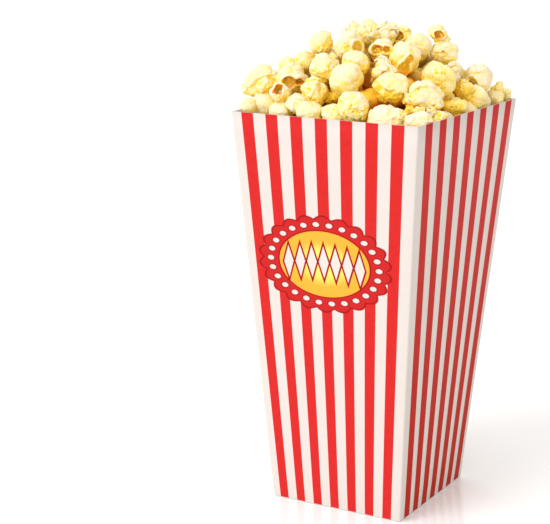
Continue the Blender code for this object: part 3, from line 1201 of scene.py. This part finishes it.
class POPCORN_OT_carton(bpy.types.Operator):
    """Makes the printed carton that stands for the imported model's"""

    bl_idname = "popcorn.carton"
    bl_label = "Carton"

    def execute(self, context):
        settings = context.scene.popcorn_carton
        board = bare_board(settings)
        materials = (front_print(settings), side_print(settings), board, board)
        obj = piece("carton_board", make_carton_mesh(), materials, "carton")
        wall = obj.modifiers.new("board", "SOLIDIFY")
        wall.thickness = BOARD
        wall.offset = -1.0
        wall.use_even_offset = True
        wall.material_offset = INSIDE_SLOT
        wall.material_offset_rim = INSIDE_SLOT
        obj.data.shade_smooth()
        obj.data.set_sharp_from_angle(angle=SHARP_ANGLE)
        return {"FINISHED"}


class POPCORN_OT_core(bpy.types.Operator):
    """Makes the solid heap under the kernels"""

    bl_idname = "popcorn.core"
    bl_label = "Core"

    def execute(self, context):
        finish = shadowed_flesh(context.scene.popcorn_corn)
        piece("popcorn_core", make_core_mesh(), [finish], "popcorn")
        return {"FINISHED"}


class POPCORN_OT_kernels(bpy.types.Operator):
    """Makes the popped kernels, one piece for each form"""

    bl_idname = "popcorn.kernels"
    bl_label = "Kernels"

    def execute(self, context):
        settings = context.scene.popcorn_corn
        finish = popcorn_flesh(settings)
        heaps = {}
        kernels = heap(context.scene.popcorn_studio.seed)
        for kernel in kernels:
            name = "buried" if kernel.detail == BURIED_DETAIL else kernel.form
            bm = heaps.setdefault(name, bmesh.new())
            mesh = kernel_mesh(kernel, kernels, settings.kernel_size)
            bm.from_mesh(mesh)
            bpy.data.meshes.remove(mesh)
        for name, bm in heaps.items():
            mesh = mesh_of(bm, f"kernels_{name}")
            mesh.shade_smooth()
            piece(f"kernels_{name}", mesh, [finish], "popcorn")
        return {"FINISHED"}


def pale_floor():
    """A white sheet with a soft gloss."""
    finish = Finish("floor")
    finish.shade(Base_Color=FLOOR_WHITE, Roughness=0.12, Specular_IOR_Level=0.50)
    return finish.material


def make_floor(side):
    """The floor under the carton."""
    bm = bmesh.new()
    bmesh.ops.create_grid(bm, x_segments=1, y_segments=1, size=side / 2)
    mesh = mesh_of(bm, "floor")
    mesh.materials.append(pale_floor())
    shown("floor", mesh)


def make_sky(settings):
    """Even light all round, warmer from the right, and weaker behind and overhead."""
    world = bpy.data.worlds.new("studio")
    sky = Nodes(world, "Background")
    way = sky.node("ShaderNodeTexCoord", {})
    inputs = {0: way, 1: settings.sky_fall}
    fall = sky.node("ShaderNodeVectorMath", inputs, output=1, operation="DOT_PRODUCT")
    sky.shade(
        Color=sky.mix(sky.axes(way)[0], *SKY_COLOURS),
        Strength=sky.math("SUBTRACT", settings.sky, fall),
    )
    bpy.context.scene.world = world
    bpy.context.scene.view_settings.view_transform = "Standard"


def make_sun(settings):
    """One broad light from the front left."""
    sun = bpy.data.lights.new("sun", "SUN")
    sun.energy = settings.sun
    sun.angle = SUN_ANGLE
    sun.color = SUN_COLOUR
    obj = shown("sun", sun)
    obj.rotation_mode = "QUATERNION"
    obj.rotation_quaternion = Vector(SUN_WAY).to_track_quat("Z", "Y")


def make_camera(settings):
    """The camera, a little above the rim and to the right of the front."""
    azimuth, elevation, roll = (math.radians(angle) for angle in CAMERA_TURNS)
    back = Vector((
        math.sin(azimuth) * math.cos(elevation),
        -math.cos(azimuth) * math.cos(elevation),
        math.sin(elevation),
    ))
    level = (-back).cross(Vector((0, 0, 1))).normalized()
    plumb = level.cross(-back)
    right = level * math.cos(roll) + plumb * math.sin(roll)
    up = plumb * math.cos(roll) - level * math.sin(roll)
    data = bpy.data.cameras.new("camera")
    data.lens = settings.lens
    data.sensor_width = SENSOR_WIDTH
    data.sensor_fit = "HORIZONTAL"
    data.clip_start = 0.01
    data.clip_end = 100.0
    camera = shown("camera", data)
    turn = Matrix((right, up, back)).transposed().to_4x4()
    camera.matrix_world = Matrix.Translation(CAMERA_TARGET + back * CAMERA_DISTANCE) @ turn
    bpy.context.scene.camera = camera


class POPCORN_OT_studio(bpy.types.Operator):
    """Makes the floor, the lights and the camera"""

    bl_idname = "popcorn.studio"
    bl_label = "Studio"

    def execute(self, context):
        settings = context.scene.popcorn_studio
        make_floor(settings.floor_side)
        make_sky(settings)
        make_sun(settings)
        make_camera(settings)
        return {"FINISHED"}


OPERATORS = (POPCORN_OT_carton, POPCORN_OT_core, POPCORN_OT_kernels, POPCORN_OT_studio)


class POPCORN_PT_sidebar(bpy.types.Panel):
    """Lists the settings and what makes each piece"""

    bl_idname = "POPCORN_PT_sidebar"
    bl_label = "Bucket of Popcorn"
    bl_space_type = "VIEW_3D"
    bl_region_type = "UI"
    bl_category = "Popcorn"

    def draw(self, context):
        for name in SETTINGS:
            box = self.layout.box()
            settings = getattr(context.scene, name)
            for key in settings.bl_rna.properties.keys():
                if key not in ("rna_type", "name"):
                    box.prop(settings, key)
        for operator in OPERATORS:
            self.layout.operator(operator.bl_idname)


SETTINGS = {
    "popcorn_carton": CartonSettings,
    "popcorn_corn": PopcornSettings,
    "popcorn_studio": StudioSettings,
}
CLASSES = (*SETTINGS.values(), *OPERATORS, POPCORN_PT_sidebar)


def register():
    """Adds the settings, operators and panel to Blender."""
    for cls in CLASSES:
        bpy.utils.register_class(cls)
    for name, cls in SETTINGS.items():
        setattr(bpy.types.Scene, name, PointerProperty(type=cls))


def unregister():
    """Takes them out again."""
    for name in SETTINGS:
        delattr(bpy.types.Scene, name)
    for cls in reversed(CLASSES):
        bpy.utils.unregister_class(cls)


def main():
    """Makes every piece and the studio."""
    register()
    bpy.ops.popcorn.carton()
    bpy.ops.popcorn.core()
    bpy.ops.popcorn.kernels()
    bpy.ops.popcorn.studio()


if __name__ == "__main__":
    main()
